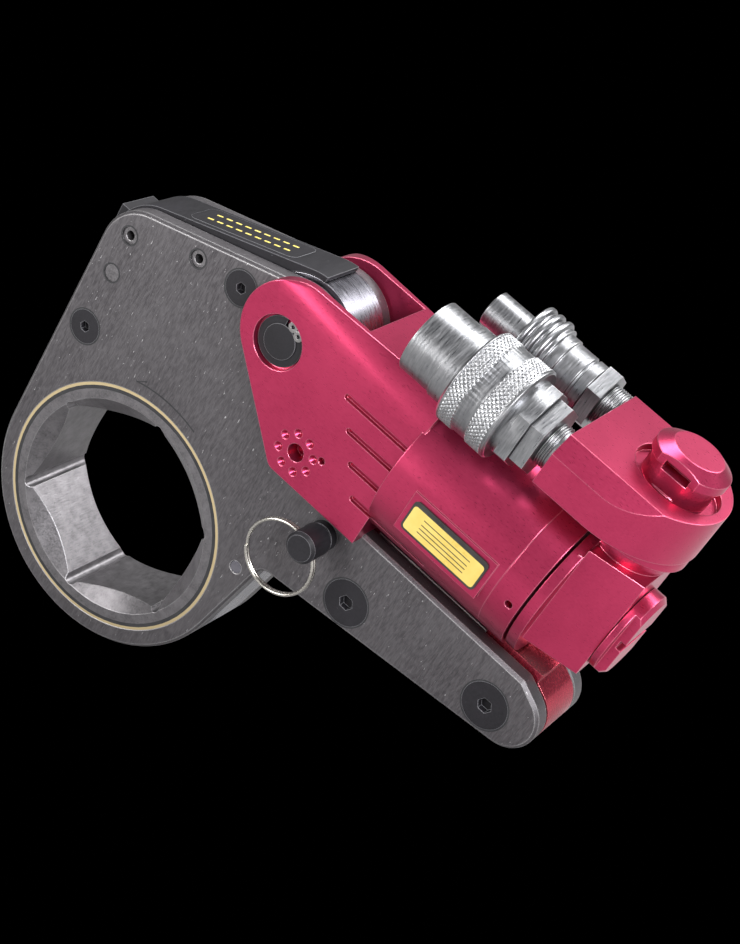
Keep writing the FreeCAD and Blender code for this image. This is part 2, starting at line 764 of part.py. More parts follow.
    rod = cylinder("rodRadius", "pistonStartX - rodShoulderX", ("rodShoulderX", "0", "axisZ"), "x")
    stub = cylinder("6", "pistonThick + 3.4", ("pistonStartX - 1", "0", "axisZ"), "x")
    blade = box("rodShoulderX - hookX + 2", "bladeHalf * 2", "bladeTopZ - bladeBottomZ",
                ("hookX", "-bladeHalf", "bladeBottomZ"))
    slot = fuse(
        box("drivePinRadius * 2 + 0.2", "20", "leverZ - bladeBottomZ + 2",
            ("leverX - drivePinRadius - 0.1", "-10", "bladeBottomZ - 1")),
        cylinder("drivePinRadius + 0.1", "20", ("leverX", "-10", "leverZ + 1.3")),
    )
    finish("piston_rod", cut(fuse(rod, stub, blade), slot))
    disc = ringOf("boreRadius - runClear", "6.02", "pistonThick", ("pistonStartX", "0", "axisZ"), "x")
    seat = ringOf("boreRadius + 1", "boreRadius - 2", "2.4", ("pistonStartX + 1.8", "0", "axisZ"), "x")
    finish("piston", cut(disc, seat))
    spot = ("pistonStartX + 1.9", "0", "axisZ")
    finish("piston_seal", ringOf("boreRadius - 0.03", "boreRadius - 1.95", "2.2", spot, "x"))
    nut = doc.addObject("Part::Prism", "Nut")
    nut.Polygon = 6
    bind(nut, "Circumradius", "10")
    bind(nut, "Height", "3")
    place(nut, ("pistonStartX + pistonThick", "0", "axisZ"), "x")
    hole = cylinder("6.02", "9", ("pistonStartX + pistonThick - 2", "0", "axisZ"), "x")
    finish("piston_nut", cut(nut, hole))


def swivels():
    flange = cylinder("flangeRadius", "flangeThick", ("flangeStartX", "0", "axisZ"), "x")
    end = "blockEndX"
    shape = [("flangeStartX + 2", "-blockHalf", "0"), (end, "-blockTaper", "0"), (end, "blockTaper", "0"),
             ("flangeStartX + 2", "blockHalf", "0")]
    tall = slab(shape, "blockTopZ - blockBottomZ", "blockTopZ / 2 + blockBottomZ / 2", "XY_Plane")
    bore = cylinder("postRadius + runClear", "60", ("capStartX", "0", "axisZ"), "x")
    stem = cylinder("stemRadius + screwClear", "40", ("swivelX", "0", "stemStartZ"), "z")
    rise = "bossBottomZ - gapClear - blockTopZ + 2"
    pedestal = cylinder("pedestalRadius", rise, ("swivelX", "0", "blockTopZ - 2"), "z")
    behind = box("40", "80", "40", ("flangeStartX + flangeThick - 40", "-40", "blockTopZ - 3"))
    finish("swivel_block", cut(fuse(flange, cut(fuse(tall, pedestal), behind)), bore, stem))

    shaft = cylinder("postRadius", "blockEndX + gapClear - postStartX", ("postStartX", "0", "axisZ"), "x")
    plug = cylinder("plugRadius", "plugThick - 1.5", ("blockEndX + gapClear", "0", "axisZ"), "x")
    tip = ("blockEndX + gapClear + plugThick - 1.5", "0", "axisZ")
    nose = cone("plugRadius", "plugRadius - 1.5", "1.5", tip, "x")
    flats = [
        box("plugThick - 2", "20", "60", ("blockEndX + gapClear + 2.2", y, "axisZ - 30"))
        for y in ("plugFlat / 2", "-plugFlat / 2 - 20")
    ]
    notch = box("3", "40", "3", ("blockEndX + gapClear + plugThick - 2", "-20", "axisZ - 1.5"))
    grooves = [
        ringOf("postRadius + 1", "postRadius - 1.4", "2", (x, "0", "axisZ"), "x")
        for x in ("flangeStartX + 4", "flangeStartX + 18")
    ]
    finish("swivel_post", cut(fuse(shaft, plug, nose), *flats, notch, *grooves))
    finish("swivel_post_seals", group(*[
        ringOf("postRadius + 0.02", "postRadius - 1.35", "1.8", (x, "0", "axisZ"), "x")
        for x in ("flangeStartX + 4.1", "flangeStartX + 18.1")
    ]))

    half = "manifoldHalf"
    roundEnd = ("manifoldRoundX", "0", half)
    plan = [("portEndX", "-manifoldHalf", "0"), roundEnd, ("portEndX", half, "0")]
    middle = "manifoldTopZ / 2 + manifoldBottomZ / 2"
    body = slab(plan, "manifoldTopZ - manifoldBottomZ", middle, "XY_Plane")
    edges = []
    for side in (-1, 1):
        y = side * sizes["manifoldHalf"]
        lip = sizes["manifoldBevel"]
        top = sizes["manifoldTopZ"]
        points = [FreeCAD.Vector(100, y, top - lip), FreeCAD.Vector(100, y + side * 2, top - lip),
                  FreeCAD.Vector(100, y + side * 2, top + 2), FreeCAD.Vector(100, y - side * lip, top + 2),
                  FreeCAD.Vector(100, y - side * lip, top)]
        wedge = doc.addObject("Part::Feature", "EdgeWedge")
        wedge.Shape = Part.Face(Part.makePolygon(points + points[:1])).extrude(FreeCAD.Vector(50, 0, 0))
        edges.append(wedge)
    boss = cylinder("bossRadius", "manifoldBottomZ - bossBottomZ + 1", ("swivelX", "0", "bossBottomZ"), "z")
    tools = edges + [
        cylinder("stemRadius + runClear", "80", ("swivelX", "0", "100"), "z"),
        cylinder("seatRadius", "20", ("swivelX", "0", "manifoldTopZ - manifoldSeat"), "z"),
        cylinder("threadRadius + screwClear", "10", ("portEndX - 1", "-portY", "portZ"), "x"),
        cylinder("threadRadius + screwClear", "10", ("portEndX - 1", "portY", "portZ"), "x"),
    ]
    finish("manifold", cut(fuse(body, boss), *tools))

    start = "manifoldTopZ - manifoldSeat + gapClear"
    top = "manifoldTopZ + capRise"
    rim = top + " - capBevel - capRim"
    stemBody = cylinder("stemRadius", start + " - stemStartZ", ("swivelX", "0", "stemStartZ"), "z")
    tall = "manifoldSeat + capRise - capBevel - gapClear - 1"
    neck = cylinder("capNeck", tall, ("swivelX", "0", start), "z")
    knob = cylinder("capRadius", "capRim", ("swivelX", "0", rim), "z")
    dome = cone("capRadius", "capFace", "capBevel", ("swivelX", "0", top + " - capBevel"), "z")
    sides = [
        box("60", "20", "20", ("swivelX - 30", y, start + " + 1"))
        for y in ("plugFlat / 2 + 1", "-plugFlat / 2 - 21")
    ]
    slot = box("9", "6", "3", ("swivelX - 4.5", "-plugFlat / 2 - 2", rim + " - 1"))
    rings = [
        ringOf("stemRadius + 1", "stemRadius - 1.4", "2", ("swivelX", "0", z), "z") for z in ("118", "128")
    ]
    finish("manifold_post", cut(fuse(stemBody, neck, knob, dome), *sides, slot, *rings))
    finish("manifold_post_seals", group(*[
        ringOf("stemRadius + 0.02", "stemRadius - 1.35", "1.8", ("swivelX", "0", z), "z")
        for z in ("118.1", "128.1")
    ]))


def axisX(radius, start, end, y):
    return cylinder(radius, span(start, end), (start, y, "portZ"), "x")


def hexX(across, start, end, y):
    nut = doc.addObject("Part::Prism", "Hexagon")
    nut.Polygon = 6
    bind(nut, "Circumradius", across + " * 0.57735")
    bind(nut, "Height", span(start, end))
    return place(nut, (start, y, "portZ"), "x")


def couplers():
    y = "-portY"
    nipple = axisX("threadRadius", "nutX + adapterThick", "portEndX + threadDepth", y)
    nut = hexX("femaleHex", "nutX + 0.2", "nutX + adapterThick + 0.2", y)
    bore = axisX("adapterBore", "nutX", "portEndX + 10", y)
    finish("female_adapter", cut(fuse(nipple, nut), bore))
    body = fuse(
        axisX("femaleNose", "noseStartX", "noseEndX", y),
        axisX("femaleStep", "noseEndX", "nutX", y),
        hexX("femaleNut", "sleeveEndX + sleeveTravel + 0.4", "nutX", y),
    )
    mouth = axisX("femaleBore", "noseStartX - 1", "femaleBoreEndX", y)
    finish("female_body", cut(body, mouth, axisX("feedRadius", "femaleBoreEndX - 2", "nutX + 2", y)))
    sleeve = axisX("sleeveRadius", "sleeveStartX", "sleeveEndX", y)
    finish("female_sleeve", cut(sleeve, axisX("femaleStep + runClear", "sleeveStartX - 5", "nutX", y)))
    finish("female_poppet", fuse(
        axisX("femalePoppetHead", "femalePoppetX", "femalePoppetX + 4", y),
        axisX("poppetRadius", "femalePoppetX + 3", "femaleBoreEndX - 0.2", y),
    ))
    seat = ("femalePoppetX + 4 + springWire + 0.2", y, "portZ")
    finish("female_spring", group(spring("femaleSpringRadius", "springWire", "1.6", "6.6", seat, "x")))

    y = "portY"
    finish("male_adapter", cut(
        fuse(
            axisX("threadRadius", "maleNutX + 3", "portEndX + threadDepth", y),
            hexX("maleHex", "maleNutX", "maleNutX + 5", y),
        ),
        axisX("adapterBore", "maleNutX - 1", "portEndX + 10", y),
    ))
    rings = []
    for i in range(3):
        start = "maleRingX + maleRingPitch * " + str(i)
        rings.append(axisX("maleCollar", start, start + " + maleRingWide", y))
    body = fuse(
        axisX("maleNose", "noseStartX", "maleRingX + 0.5", y),
        axisX("maleCollar - 1.2", "maleRingX", "maleShoulderX", y),
        *rings,
        axisX("maleBack", "maleShoulderX", "maleNutX - 0.2", y),
    )
    mouth = axisX("maleBore", "noseStartX - 2", "maleBoreEndX", y)
    finish("male_body", cut(body, mouth, axisX("poppetRadius", "maleBoreEndX - 1", "maleNutX + 1", y)))
    finish("male_poppet", axisX("maleBore - 0.7", "malePoppetX", "malePoppetX + malePoppetLong", y))
    seat = ("malePoppetX + malePoppetLong + springWire + 0.1", y, "portZ")
    finish("male_spring", group(spring("maleSpringRadius", "springWire", "2", "16.8", seat, "x")))


def pullPin():
    shaft = cylinder("pullRadius", "linkHalf * 2 + 3", ("pullX", "-linkHalf - 3", "pullZ"))
    neck = cylinder("4", "6", ("pullX", "-linkHalf - 8", "pullZ"))
    knob = cylinder("knobRadius", "knobEndY - linkHalf - 5", ("pullX", "1 - knobEndY", "pullZ"))
    rim = cone("knobRadius - 1", "knobRadius", "1", ("pullX", "-knobEndY", "pullZ"))
    hole = torus("ringOuter - ringWire / 2", "2.1", ("ringX", "holeY", "ringZ"))
    finish("pull_pin", cut(fuse(shaft, neck, knob, rim), hole))
    coils = [
        torus("ringOuter - ringWire / 2", "ringWire / 2", ("ringX", "holeY + " + str(s), "ringZ"))
        for s in (-0.5, 0.5)
    ]
    finish("split_ring", fuse(*coils))


link()
ratchet()
lever()
backstop()
head()
swivels()
couplers()
pullPin()
doc.recompute()

problems = [o.Name for o in doc.Objects if "Invalid" in o.State or "Error" in o.State]
for obj in nodes:
    if obj.Shape.isNull() or not obj.Shape.isValid() or not obj.Shape.Solids:
        problems.append(obj.Label)
if problems:
    raise SystemExit("failed: " + ", ".join(problems))
os.makedirs("parts", exist_ok=True)
for obj in nodes:
    obj.Shape.exportStep("parts/" + obj.Label + ".step")
    print(obj.Label, len(obj.Shape.Solids), round(obj.Shape.Volume, 1))
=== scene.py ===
import bmesh
import bpy
import json
import math
from mathutils import Matrix, Vector


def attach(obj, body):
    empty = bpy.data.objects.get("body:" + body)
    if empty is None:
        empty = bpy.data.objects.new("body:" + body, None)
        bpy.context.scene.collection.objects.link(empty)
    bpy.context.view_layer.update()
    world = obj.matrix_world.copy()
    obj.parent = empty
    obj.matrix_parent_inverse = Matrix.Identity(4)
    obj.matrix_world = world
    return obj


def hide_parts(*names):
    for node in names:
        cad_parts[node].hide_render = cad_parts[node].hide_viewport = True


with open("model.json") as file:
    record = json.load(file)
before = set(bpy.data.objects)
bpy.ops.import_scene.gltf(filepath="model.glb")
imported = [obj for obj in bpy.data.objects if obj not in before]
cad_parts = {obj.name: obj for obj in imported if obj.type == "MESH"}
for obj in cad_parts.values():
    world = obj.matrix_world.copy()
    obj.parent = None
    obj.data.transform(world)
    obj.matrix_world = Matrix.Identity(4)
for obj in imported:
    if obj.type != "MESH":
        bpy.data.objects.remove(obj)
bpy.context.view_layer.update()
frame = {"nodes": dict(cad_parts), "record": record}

# Pieces are drawn in millimetres along the cylinder and then stood up at the wrench's own tilt.
stance = {"tilt": 32.6, "unit": 0.001}
standUp = Matrix.Rotation(math.radians(stance["tilt"]), 4, "Y") @ Matrix.Scale(stance["unit"], 4)
alongY = Matrix.Rotation(math.radians(-90), 4, "X")


# Materials

def link(tree, fromSocket, toSocket):
    tree.links.new(fromSocket, toSocket)


def startMaterial(name):
    material = bpy.data.materials.new(name)
    material.use_nodes = True
    tree = material.node_tree
    shader = tree.nodes["Principled BSDF"]
    place = tree.nodes.new("ShaderNodeTexCoord")
    level = tree.nodes.new("ShaderNodeMapping")  # lines the pattern up with the cylinder
    level.inputs["Rotation"].default_value = (0, math.radians(-stance["tilt"]), 0)
    link(tree, place.outputs["Object"], level.inputs["Vector"])
    return material, tree, shader, level.outputs["Vector"]


def noiseOn(tree, vector, size, detail, stretch=(1, 1, 1), rough=0.6):
    scale = tree.nodes.new("ShaderNodeMapping")
    scale.inputs["Scale"].default_value = stretch
    noise = tree.nodes.new("ShaderNodeTexNoise")
    noise.inputs["Scale"].default_value = size
    noise.inputs["Detail"].default_value = detail
    noise.inputs["Roughness"].default_value = rough
    link(tree, vector, scale.inputs["Vector"])
    link(tree, scale.outputs["Vector"], noise.inputs["Vector"])
    return noise.outputs["Fac"]


def rampOn(tree, value, stops):
    ramp = tree.nodes.new("ShaderNodeValToRGB")
    for element, (spot, color) in zip(ramp.color_ramp.elements, stops):
        element.position = spot
        element.color = (*color, 1)
    link(tree, value, ramp.inputs["Fac"])
    return ramp.outputs["Color"]


def mixOn(tree, amount, tone, color):
    mix = tree.nodes.new("ShaderNodeMix")
    mix.data_type = "RGBA"
    link(tree, amount, mix.inputs["Factor"])
    link(tree, tone, mix.inputs["A"])
    mix.inputs["B"].default_value = (*color, 1)
    return mix.outputs["Result"]


def rangeOn(tree, value, low, high, outLow, outHigh):
    span = tree.nodes.new("ShaderNodeMapRange")
    for name, number in (("From Min", low), ("From Max", high), ("To Min", outLow), ("To Max", outHigh)):
        span.inputs[name].default_value = number
    link(tree, value, span.inputs["Value"])
    return span.outputs["Result"]


# Where the rounded normal leaves the flat one, the surface is an edge. In metal() this edge mask lightens the
# colour: partly edge wear, partly a painted highlight along the rims.
def edgeOn(tree, radius):
    edge = {"samples": 6, "flat": 0.999, "turned": 0.9}
    bevel = tree.nodes.new("ShaderNodeBevel")
    bevel.samples = edge["samples"]
    bevel.inputs["Radius"].default_value = radius
    facing = tree.nodes.new("ShaderNodeNewGeometry")
    dot = tree.nodes.new("ShaderNodeVectorMath")
    dot.operation = "DOT_PRODUCT"
    link(tree, bevel.outputs["Normal"], dot.inputs[0])
    link(tree, facing.outputs["Normal"], dot.inputs[1])
    return bevel.outputs["Normal"], rangeOn(tree, dot.outputs["Value"], edge["flat"], edge["turned"], 0, 1)


def bumpOn(tree, shader, height, strength, distance, normal=None):
    bump = tree.nodes.new("ShaderNodeBump")
    bump.inputs["Strength"].default_value = strength
    bump.inputs["Distance"].default_value = distance
    link(tree, height, bump.inputs["Height"])
    if normal is not None:
        link(tree, normal, bump.inputs["Normal"])
    link(tree, bump.outputs["Normal"], shader.inputs["Normal"])


def metal(name, look):
    masks = {"cloud": (0.3, 0.7), "grain": (0.35, 0.65), "gloss": (0.3, 0.7), "edge": (0.1, 0.9),
             "fleckWidth": 0.03, "fleckRough": 0.8, "bumpDepth": 0.0002}
    material, tree, shader, vector = startMaterial(name)
    shader.inputs["Metallic"].default_value = look.get("metallic", 1.0)
    shader.inputs["Specular IOR Level"].default_value = look.get("gloss", 0.5)
    cloud = noiseOn(tree, vector, look["cloudSize"], detail=5)
    grain = noiseOn(tree, vector, look["grainSize"], detail=3, stretch=look["grainStretch"])
    fleck = noiseOn(tree, vector, look["fleckSize"], detail=2, stretch=look.get("fleckStretch", (1, 1, 1)),
                    rough=masks["fleckRough"])
    tone = rampOn(tree, cloud, list(zip(masks["cloud"], (look["dark"], look["light"]))))
    tone = mixOn(tree, rangeOn(tree, grain, *masks["grain"], 0, look["grainMix"]), tone, look["grain"])
    fleckFull = look["fleckFrom"] + masks["fleckWidth"]
    spots = rangeOn(tree, fleck, look["fleckFrom"], fleckFull, 0, look["fleckMix"])
    tone = mixOn(tree, spots, tone, look["fleck"])
    normal, edge = edgeOn(tree, look["edgeRadius"])
    # Lighter edge colour: partly worn edges, partly a painted highlight standing in for light caught by the
    # rounded rims.
    tone = mixOn(tree, rangeOn(tree, edge, *masks["edge"], 0, look["edgeWearAndHighlightMix"]), tone, look["edge"])
    link(tree, tone, shader.inputs["Base Color"])
    link(tree, rangeOn(tree, grain, *masks["gloss"], *look["roughness"]), shader.inputs["Roughness"])
    bumpOn(tree, shader, grain, look["bump"], masks["bumpDepth"], normal)
    return material


blackOxide = metal("blackOxide", {
    "dark": (0.060, 0.055, 0.060), "light": (0.098, 0.092, 0.098), "cloudSize": 30,
    "grain": (0.15, 0.142, 0.15), "grainSize": 2400, "grainStretch": (1, 1, 0.16), "grainMix": 0.6,
    "fleck": (0.50, 0.49, 0.50), "fleckSize": 1300, "fleckStretch": (1, 1, 0.3), "fleckFrom": 0.7, "fleckMix": 0.8,
    "edge": (0.55, 0.54, 0.55), "edgeWearAndHighlightMix": 0.75, "edgeRadius": 0.0007,
    "metallic": 0.75, "roughness": (0.38, 0.56), "bump": 0.4,
})
wornOxide = metal("wornOxide", {
    "dark": (0.10, 0.095, 0.10), "light": (0.20, 0.19, 0.20), "cloudSize": 260,
    "grain": (0.26, 0.25, 0.26), "grainSize": 1800, "grainStretch": (1, 0.15, 1), "grainMix": 0.4,
    "fleck": (0.04, 0.038, 0.04), "fleckSize": 900, "fleckFrom": 0.68, "fleckMix": 0.6,
    "edge": (0.5, 0.49, 0.5), "edgeWearAndHighlightMix": 0.7, "edgeRadius": 0.0005,
    "metallic": 0.85, "roughness": (0.28, 0.45), "bump": 0.2,
})
satinBlack = metal("satinBlack", {
    "dark": (0.007, 0.0066, 0.008), "light": (0.013, 0.012, 0.015), "cloudSize": 50,
    "grain": (0.022, 0.021, 0.025), "grainSize": 1200, "grainStretch": (1, 0.2, 1), "grainMix": 0.3,
    "fleck": (0.3, 0.3, 0.32), "fleckSize": 600, "fleckFrom": 0.76, "fleckMix": 0.6,
    "edge": (0.3, 0.3, 0.32), "edgeWearAndHighlightMix": 0.5, "edgeRadius": 0.0004,
    "metallic": 0.0, "gloss": 0.25, "roughness": (0.48, 0.6), "bump": 0.12,
})
groundSteel = metal("groundSteel", {
    "dark": (0.16, 0.155, 0.18), "light": (0.24, 0.235, 0.27), "cloudSize": 60,
    "grain": (0.34, 0.33, 0.37), "grainSize": 1400, "grainStretch": (0.15, 1, 0.15), "grainMix": 0.4,
    "fleck": (0.5, 0.5, 0.52), "fleckSize": 700, "fleckFrom": 0.76, "fleckMix": 0.4,
    "edge": (0.5, 0.5, 0.52), "edgeWearAndHighlightMix": 0.5, "edgeRadius": 0.0003,
    "roughness": (0.22, 0.34), "bump": 0.1,
})
crimson = metal("crimson", {
    "dark": (0.36, 0.024, 0.075), "light": (0.50, 0.042, 0.112), "cloudSize": 22,
    "grain": (0.56, 0.056, 0.135), "grainSize": 2200, "grainStretch": (0.3, 1, 1), "grainMix": 0.25,
    "fleck": (0.90, 0.50, 0.58), "fleckSize": 900, "fleckFrom": 0.86, "fleckMix": 0.5,
    "edge": (0.95, 0.32, 0.44), "edgeWearAndHighlightMix": 0.6, "edgeRadius": 0.0005,
    "metallic": 0.85, "roughness": (0.27, 0.31), "bump": 0.0,
})
padRed = metal("padRed", {
    "dark": (0.34, 0.020, 0.05), "light": (0.46, 0.040, 0.07), "cloudSize": 60,
    "grain": (0.52, 0.06, 0.09), "grainSize": 1200, "grainStretch": (1, 1, 0.3), "grainMix": 0.35,
    "fleck": (0.8, 0.4, 0.42), "fleckSize": 500, "fleckFrom": 0.78, "fleckMix": 0.5,
    "edge": (0.8, 0.3, 0.33), "edgeWearAndHighlightMix": 0.4, "edgeRadius": 0.0004,
    "metallic": 0.9, "roughness": (0.2, 0.32), "bump": 0.06,
})
zinc = metal("zinc", {
    "dark": (0.17, 0.174, 0.185), "light": (0.28, 0.284, 0.297), "cloudSize": 90,
    "grain": (0.40, 0.40, 0.41), "grainSize": 1800, "grainStretch": (1, 0.12, 0.12), "grainMix": 0.45,
    "fleck": (0.16, 0.15, 0.15), "fleckSize": 900, "fleckFrom": 0.78, "fleckMix": 0.4,
    "edge": (0.85, 0.85, 0.86), "edgeWearAndHighlightMix": 0.5, "edgeRadius": 0.0003,
    "roughness": (0.26, 0.42), "bump": 0.25,
})
springSteel = metal("springSteel", {
    "dark": (0.20, 0.19, 0.19), "light": (0.34, 0.33, 0.33), "cloudSize": 200,
    "grain": (0.42, 0.41, 0.4), "grainSize": 2000, "grainStretch": (1, 1, 1), "grainMix": 0.35,
    "fleck": (0.06, 0.06, 0.06), "fleckSize": 900, "fleckFrom": 0.72, "fleckMix": 0.5,
    "edge": (0.6, 0.6, 0.6), "edgeWearAndHighlightMix": 0.5, "edgeRadius": 0.0002,
    "roughness": (0.25, 0.4), "bump": 0.1,
})
nickel = metal("nickel", {
    "dark": (0.42, 0.40, 0.37), "light": (0.60, 0.58, 0.53), "cloudSize": 80,
    "grain": (0.70, 0.67, 0.61), "grainSize": 1500, "grainStretch": (1, 1, 1), "grainMix": 0.3,
    "fleck": (0.2, 0.19, 0.18), "fleckSize": 700, "fleckFrom": 0.74, "fleckMix": 0.5,
    "edge": (0.8, 0.78, 0.72), "edgeWearAndHighlightMix": 0.4, "edgeRadius": 0.0002,
    "roughness": (0.2, 0.32), "bump": 0.05,
})


def plain(name, color, second, roughness, size):
    masks = {"tone": (0.35, 0.65), "gloss": (0.3, 0.7), "bump": 0.1, "bumpDepth": 0.0001}
    material, tree, shader, vector = startMaterial(name)
    cloud = noiseOn(tree, vector, size, detail=4)
    tone = rampOn(tree, cloud, list(zip(masks["tone"], (color, second))))
    link(tree, tone, shader.inputs["Base Color"])
    link(tree, rangeOn(tree, cloud, *masks["gloss"], *roughness), shader.inputs["Roughness"])
    bumpOn(tree, shader, cloud, masks["bump"], masks["bumpDepth"])
    return material


rubber = plain("rubber", (0.012, 0.012, 0.012), (0.03, 0.03, 0.03), (0.6, 0.8), 400)
labelYellow = plain("labelYellow", (0.52, 0.38, 0.08), (0.60, 0.45, 0.12), (0.25, 0.35), 120)
markYellow = plain("markYellow", (0.62, 0.50, 0.10), (0.72, 0.58, 0.16), (0.5, 0.65), 300)
# Near-black for the engraved turn arrow, and also used as painted shade in the gaps round screws and pins and on
# the bush seam.
engravingAndGapShade = plain("engravingAndGapShade", (0.010, 0.010, 0.012), (0.02, 0.02, 0.022), (0.5, 0.7), 400)
labelBlack = plain("labelBlack", (0.015, 0.014, 0.013), (0.03, 0.028, 0.026), (0.25, 0.4), 200)
print("materials ready")


# Which finish each solid has, and which body carries it

frameBrass = bpy.data.materials["brass"]  # the frame's own plain brass
finishes = [
    (blackOxide, ("side_plate_front", "side_plate_rear", "arm_core", "frame_spacer")),
    (wornOxide, ("ratchet_wheel", "roll_pins", "dowel_pin")),
    (satinBlack, ("top_shroud", "corner_stop", "pull_pin", "circlips", "hinge_pin", "screws_small",
                  "screws_large")),
    (groundSteel, ("lug_core", "nose_guard", "drive_plate_front", "drive_plate_rear", "drive_pin",
                   "spring_bridge", "drive_pawl", "drive_pawl_springs", "backstop_pawl", "backstop_pivot",
                   "piston_rod", "piston", "piston_nut")),
    (crimson, ("head_body", "end_cap", "swivel_block", "swivel_post", "manifold", "manifold_post")),
    (padRed, ("reaction_pad",)),
    (zinc, ("female_adapter", "female_body", "female_poppet", "female_spring", "male_adapter",
            "male_poppet", "male_spring")),
    (frameBrass, ("bush_front", "bush_rear", "rod_gland")),
    (rubber, ("rod_seal", "piston_seal", "swivel_post_seals", "manifold_post_seals")),
]
bodyOf = {node: body for body, names in frame["record"]["behaviour"]["bodies"].items() for node in names}


def addPiece(name, shape, material, body):
    sharpFrom = 32
    mesh = bpy.data.meshes.new(name)
    shape.to_mesh(mesh)
    shape.free()
    piece = bpy.data.objects.new(name, mesh)
    bpy.context.scene.collection.objects.link(piece)
    if "custom_normal" in mesh.attributes:
        mesh.attributes.remove(mesh.attributes["custom_normal"])
    mesh.shade_smooth()
    mesh.set_sharp_from_angle(angle=math.radians(sharpFrom))
    mesh.materials.clear()
    mesh.materials.append(material)
    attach(piece, body)
    return piece


# A turned solid is shown by a welded copy of itself, so that its round faces shade smoothly.
def smoothCopy(node, material):
    weld = 0.000002
    shape = bmesh.new()
    shape.from_mesh(frame["nodes"][node].data)
    bmesh.ops.remove_doubles(shape, verts=shape.verts, dist=weld)
    piece = addPiece(node + "_finished", shape, material, bodyOf[node])
    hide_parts(node)


for finish, names in finishes:
    for node in names:
        smoothCopy(node, finish)
print("solids dressed")


# Turned shapes, drawn round the X axis and then set on their own axis

couplerZ = 132.3


def lathe(profile, segments, axis):
    weld = 0.0005
    shape = bmesh.new()
    spots = [shape.verts.new((x, 0, r)) for x, r in profile]
    edges = [shape.edges.new(pair) for pair in zip(spots, spots[1:])]
    edges.append(shape.edges.new((spots[-1], spots[0])))
    bmesh.ops.spin(
        shape, geom=spots + edges, cent=(0, 0, 0), axis=(1, 0, 0),
        angle=2 * math.pi, steps=segments, use_merge=True,
    )
    bmesh.ops.remove_doubles(shape, verts=shape.verts, dist=weld)
    bmesh.ops.recalc_face_normals(shape, faces=shape.faces)
    bmesh.ops.translate(shape, vec=axis, verts=shape.verts)
    return shape


def stand(shape):
    bmesh.ops.transform(shape, matrix=standUp, verts=shape.verts)
    return shape


# A diamond knurl is two crossed sets of grooves, cut into one band of a turned shape.
def knurl(shape, axis, band, look):
    for vert in shape.verts:
        x, y, z = vert.co - Vector(axis)
        reach = math.hypot(y, z)
        if not band[0] < x < band[1] or reach < look["floor"]:
            continue
        turn = math.atan2(z, y) / (2 * math.pi) * look["count"]
        lead = (x - band[0]) / look["pitch"]
        depth = max(abs((turn + lead) % 1 - 0.5), abs((turn - lead) % 1 - 0.5)) * 2
        pull = 1 - look["depth"] * depth ** 2 / reach
        vert.co = Vector(axis) + Vector((x, y * pull, z * pull))


# A rounded bead of a profile, with a quarter round of three steps at each end
def rounded(x0, x1, r, edge):
    turn = [math.pi / 2 * i / 3 for i in range(4)]
    rise = [(x0 + edge - edge * math.cos(a), r - edge + edge * math.sin(a)) for a in turn]
    fall = [(x1 - edge + edge * math.sin(a), r - edge + edge * math.cos(a)) for a in turn]
    return rise + fall


def steps(start, end, count):
    return [start + (end - start) * i / count for i in range(count + 1)]


def femaleSleeve():
    size = {
        "y": -20.0, "start": 79.7, "end": 98.4, "outer": 16.0, "bore": 12.9, "waist": 15.5,
        "bandOne": (80.6, 85.6), "bandTwo": (91.4, 97.0), "rows": 22, "segments": 360,
        "leadLong": 0.7, "leadDeep": 0.8, "slope": 0.4, "endEdge": 0.6,
    }
    pattern = {"count": 60, "pitch": 1.68, "depth": 0.62, "floor": 15.6}
    start, end, outer, waist = size["start"], size["end"], size["outer"], size["waist"]
    edge = size["endEdge"]
    profile = [(start, size["bore"]), (start, outer - size["leadDeep"]), (start + size["leadLong"], outer)]
    profile += [(x, outer) for x in steps(*size["bandOne"], size["rows"])]
    profile += [(size["bandOne"][1] + size["slope"], waist), (size["bandTwo"][0] - size["slope"], waist)]
    profile += [(x, outer) for x in steps(*size["bandTwo"], size["rows"])]
    profile += [(end - edge, outer), (end, outer - edge), (end, size["bore"])]
    axis = (0, size["y"], couplerZ)
    shape = lathe(profile, size["segments"], axis)
    for band in (size["bandOne"], size["bandTwo"]):
        knurl(shape, axis, band, pattern)
    piece = addPiece("knurled_sleeve", stand(shape), zinc, "female_sleeve")
    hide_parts("female_sleeve")


def maleBody():
    size = {
        "y": 20.0, "segments": 128, "bore": 4.6, "back": 3.0, "boreEnd": 89.5, "start": 62.3, "end": 102.8,
        "nose": 6.3, "noseEdge": (0.4, 0.7), "noseEnd": 75.9, "shoulder": (76.5, 8.5),
        "collar": 12.2, "collarEdge": 1.8, "beads": (76.6, 80.0, 83.4), "beadWide": 2.0, "beadRound": 0.7,
        "groove": (2.3, 3.0), "grooveDeep": 1.3,
        "tail": [(87.0, 11.0), (87.3, 9.8), (90.6, 9.8), (91.0, 9.2), (97.8, 9.2), (98.2, 8.6), (98.8, 8.6),
                 (99.2, 9.2), (102.4, 9.2), (102.8, 8.8)],
    }
    start, nose, collar = size["start"], size["nose"], size["collar"]
    long, deep = size["noseEdge"]
    profile = [(start, size["bore"]), (start, nose - deep), (start + long, nose), (size["noseEnd"], nose),
               size["shoulder"], (size["shoulder"][0], collar - size["collarEdge"])]
    for x in size["beads"]:
        profile += rounded(x, x + size["beadWide"], collar, size["beadRound"])
        profile += [(x + reach, collar - size["grooveDeep"]) for reach in size["groove"]]
    profile += size["tail"]
    profile += [(size["end"], size["back"]), (size["boreEnd"], size["back"]), (size["boreEnd"], size["bore"])]
    shape = lathe(profile, size["segments"], (0, size["y"], couplerZ))
    piece = addPiece("turned_nipple", stand(shape), zinc, "swivel_head")
    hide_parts("male_body")


